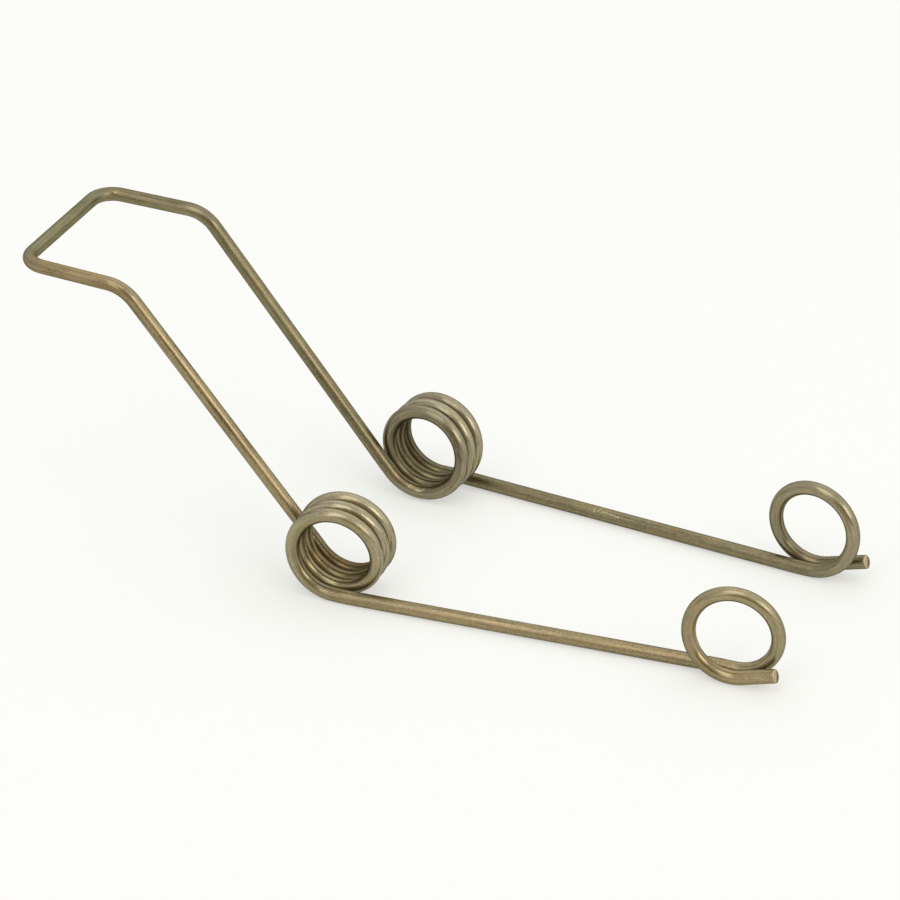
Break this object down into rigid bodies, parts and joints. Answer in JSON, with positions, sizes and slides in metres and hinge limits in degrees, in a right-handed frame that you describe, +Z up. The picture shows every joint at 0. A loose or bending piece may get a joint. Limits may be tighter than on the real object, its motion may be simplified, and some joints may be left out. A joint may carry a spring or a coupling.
{
  "type": "double torsion spring",
  "caption": "Double torsion spring bent from one round wire: a rectangular bail on two upper legs, two close coils, and two lower legs ending in upright eyes.",
  "frame": {"origin": "midway between the two coils, at the height of their axes", "axes": "+X runs along the lower legs from the coils towards the eyes, Y runs across both coils, +Z is up; the spring rests on its coils, lower legs and eyes"},
  "size_m": [0.1173, 0.0394, 0.04],
  "materials": {
    "spring_wire": "drawn spring wire with a golden brown heat tint, fine lengthwise draw lines and bare cut ends"
  },
  "bodies": {
    "root": {"spring_wire": "spring_wire"}
  },
  "joints": []
}
